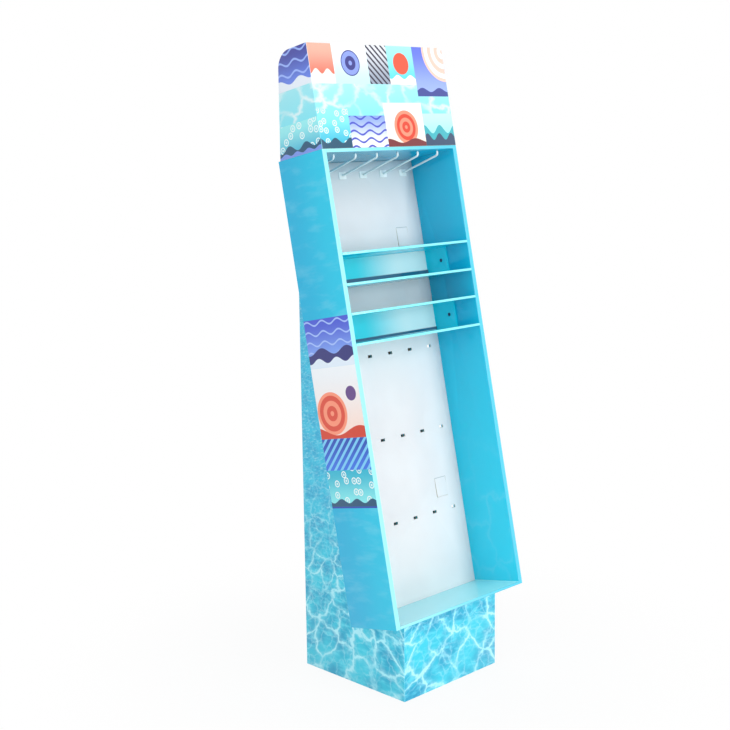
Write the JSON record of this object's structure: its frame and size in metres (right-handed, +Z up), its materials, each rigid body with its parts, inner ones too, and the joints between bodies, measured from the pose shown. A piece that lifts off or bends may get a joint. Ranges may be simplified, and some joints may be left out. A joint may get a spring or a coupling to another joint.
{
  "type": "cardboard display stand",
  "caption": "Floor display of folded card: wedge-shaped column, leaning tray with rolled walls, two open shelf boxes, peg hooks in a row and a header with wings.",
  "frame": {"origin": "on the floor, at the centre of the column's footprint", "axes": "+Z up, +X to the viewer's right when facing the open front, front towards -Y"},
  "size_m": [0.45, 0.3769, 1.5153],
  "materials": {
    "card_print": "printed card with a glossy laminate, in pool-water blues",
    "card_white": "white card with a satin laminate",
    "card_plain": "unprinted card, plain kraft on the hidden pieces",
    "hook_plastic": "white moulded plastic",
    "rivet_plastic": "dark moulded plastic"
  },
  "bodies": {
    "root": {"column_sleeve": "card_print", "column_slope": "card_print", "column_floor": "card_plain", "brace_lower": "card_plain", "brace_middle": "card_plain", "brace_upper": "card_plain", "tray_shell": "card_print", "back_panel": "card_white", "shelf_box_upper": "card_print", "shelf_box_lower": "card_print", "shelf_rivets": "rivet_plastic", "header_wrap": "card_print", "header_brace": "card_plain", "header_rivets": "rivet_plastic", "hook_1": "hook_plastic", "hook_2": "hook_plastic", "hook_3": "hook_plastic", "hook_4": "hook_plastic", "hook_5": "hook_plastic", "hook_6": "hook_plastic"}
  },
  "joints": []
}
